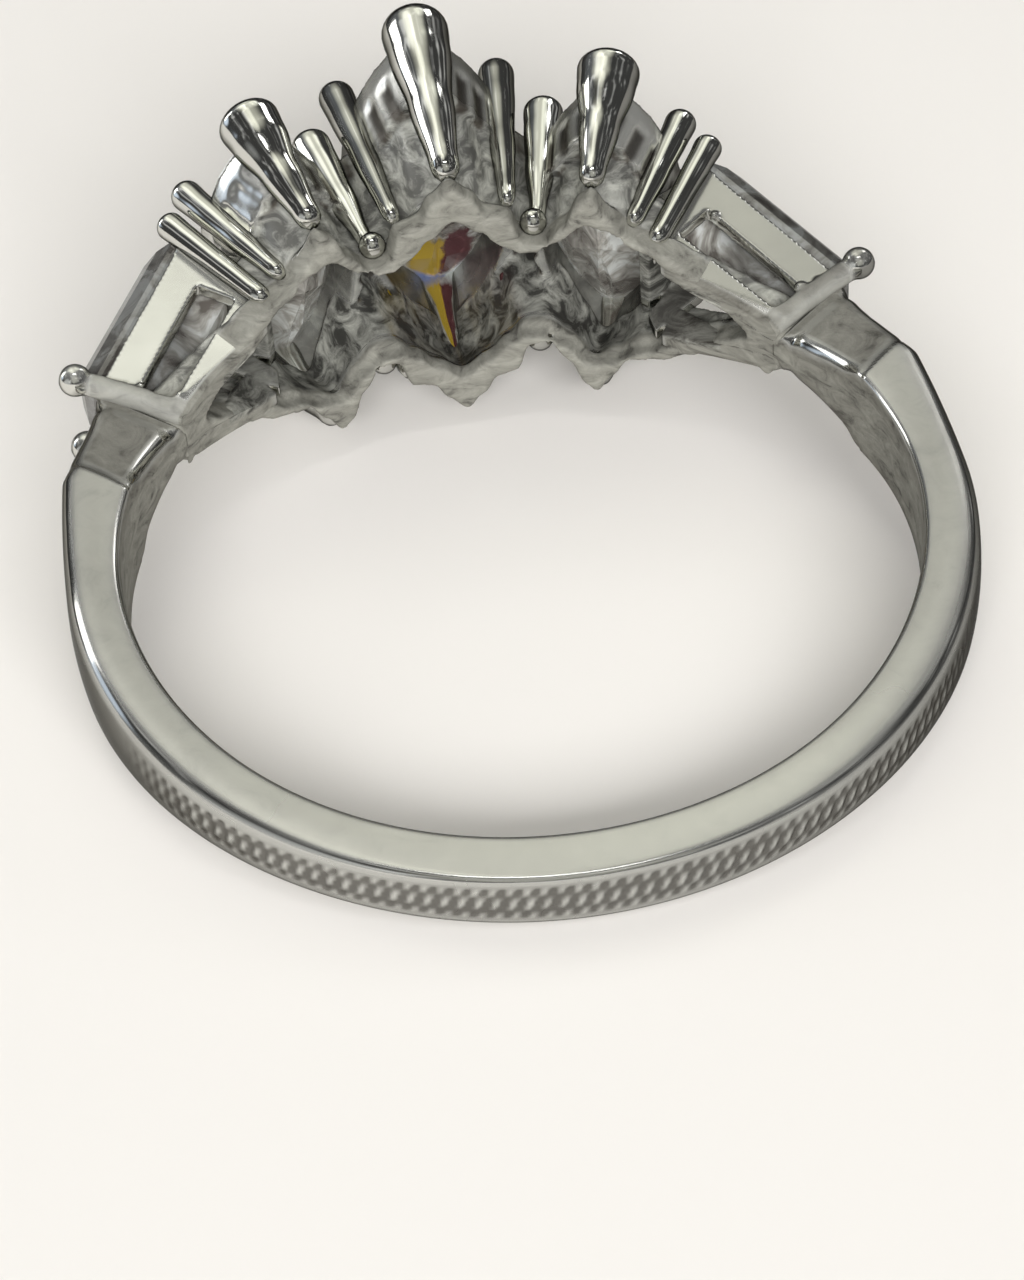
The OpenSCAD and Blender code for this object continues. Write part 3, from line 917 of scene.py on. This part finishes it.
def floor():
    """Plain pale floor under the ring."""
    mesh = bpy.data.meshes.new("floor")
    h = FLOOR_HALF
    mesh.from_pydata([(-h, -h, 0), (h, -h, 0), (h, h, 0), (-h, h, 0)], [], [(0, 1, 2, 3)])
    obj = bpy.data.objects.new("floor", mesh)
    bpy.context.collection.objects.link(obj)
    wear(obj, pale_surface())


SOFTBOXES = [  # name, azimuth from +Y to +X, elevation, distance, size, power
    ("left softbox", 303, 22, 0.3, (0.08, 0.14), 0.09),
    ("back right softbox", 45, 38, 0.3, (0.05, 0.08), 0.04),
    ("top softbox", 182, 76, 0.3, (0.12, 0.03), 0.05),
]
FILLS = [  # the same for big soft boxes that the mirrors do not see
    ("front fill", 182, 25, 0.9, (0.75, 0.28), 12.4),
    ("overhead fill", 182, 60, 0.9, (0.9, 0.6), 1.2),
    ("back fill", 0, 45, 0.6, (0.4, 0.3), 0.05),
]
ROOM = [  # azimuth, elevation, inner and outer angle, colour added
    (352, 62, 8, 34, (0.58, 0.58, 0.5)),
    (300, 82, 4, 14, (0.55, 0.55, 0.48)),
    (28, 54, 4, 14, (0.42, 0.43, 0.38)),
    (325, 62, 4, 14, (0.5, 0.5, 0.46)),
    (318, 40, 6, 30, (0.06, 0.066, 0.073)),
    (292, 12, 5, 14, (0.65, 0.75, 0.9)),
    (182, 38, 8, 34, (0.30, 0.30, 0.27)),
    (235, 10, 8, 30, (0.35, 0.36, 0.36)),
]
ROOM_BASE = (0.04, 0.04, 0.04)


def toward(azimuth, elevation):
    """Direction from the ring's middle: azimuth from +Y towards +X, elevation from the floor."""
    a, e = math.radians(azimuth), math.radians(elevation)
    return Vector((math.sin(a) * math.cos(e), math.cos(a) * math.cos(e), math.sin(e)))


def soft_boxes():
    """Rectangular lights round the ring, all turned to its middle."""
    for name, azimuth, elevation, far, size, power in SOFTBOXES + FILLS:
        light = bpy.data.lights.new(name, "AREA")
        light.shape = "RECTANGLE"
        light.size, light.size_y = size
        light.energy = power
        obj = bpy.data.objects.new(name, light)
        way = toward(azimuth, elevation)
        obj.location = way * far
        obj.rotation_euler = way.to_track_quat("Z", "Y").to_euler()
        obj.visible_glossy = "fill" not in name
        bpy.context.collection.objects.link(obj)


def room():
    """Dim room with a few paler walls and some clutter, for the metal to mirror."""
    world = bpy.data.worlds.new("room")
    bpy.context.scene.world = world
    world.use_nodes = True
    n = Nodes(world.node_tree)
    way = n.node("ShaderNodeTexCoord").outputs["Generated"]
    total = ROOM_BASE
    for azimuth, elevation, inner, outer, color in ROOM:
        close = n.node("ShaderNodeVectorMath", {0: way, 1: toward(azimuth, elevation)},
                       operation="DOT_PRODUCT").outputs["Value"]
        patch = n.node("ShaderNodeMapRange", {
            "Value": close, "From Min": math.cos(math.radians(outer)),
            "From Max": math.cos(math.radians(inner))}, interpolation_type="SMOOTHSTEP")
        total = n.vector("MULTIPLY_ADD", patch.outputs[0], color, total)
    clutter = n.node("ShaderNodeTexNoise", {"Vector": way, "Scale": 4.5, "Detail": 1.5})
    glints = n.spread(clutter.outputs["Fac"], 0.56, 0.7, 0.0, 0.4)
    n.tree.links.new(n.vector("ADD", total, glints), n.tree.nodes["Background"].inputs["Color"])


CAMERA = dict(around=6.642, above=45.646, roll=-4.174, distance=75.0,
              aim=(-0.652, -2.468, 0), focal_px=3550.1, long_side_px=1280, sensor=36)


def camera():
    """Camera as fitted to the photograph, in the ring's own frame, then laid with it."""
    az, el, roll = (math.radians(CAMERA[k]) for k in ("around", "above", "roll"))
    d = Vector((math.sin(az) * math.cos(el), math.cos(az) * math.cos(el), -math.sin(el)))
    right = Vector((math.cos(az), -math.sin(az), 0))
    up = right.cross(d)
    right, up = (right * math.cos(roll) + up * math.sin(roll),
                 up * math.cos(roll) - right * math.sin(roll))
    turn = Matrix((right, up, -d)).transposed()
    data = bpy.data.cameras.new("camera")
    data.sensor_width = CAMERA["sensor"]
    data.lens = CAMERA["focal_px"] * CAMERA["sensor"] / CAMERA["long_side_px"]
    data.clip_start, data.clip_end = 0.001, 10
    obj = bpy.data.objects.new("camera", data)
    bpy.context.collection.objects.link(obj)
    place = TO_WORLD @ (Vector(CAMERA["aim"]) - CAMERA["distance"] * d)
    obj.matrix_world = (Matrix.Translation(place)
                        @ (Matrix.Rotation(LEAN, 3, "X") @ turn).to_4x4())
    bpy.context.scene.camera = obj


clouds = clouding()
silver = silver_finish(clouds)
stone = clear_stone(clouds)
mount = [shank(), crown(), prongs(), seat(1, "right_seat"), seat(-1, "left_seat")]
for piece in mount:
    wear(piece, silver)
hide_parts("ring_mount")
for name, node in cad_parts.items():
    if name != "ring_mount":
        node.material_slots[0].material = stone
floor()
soft_boxes()
room()
camera()
bpy.context.scene.view_settings.view_transform = "Standard"
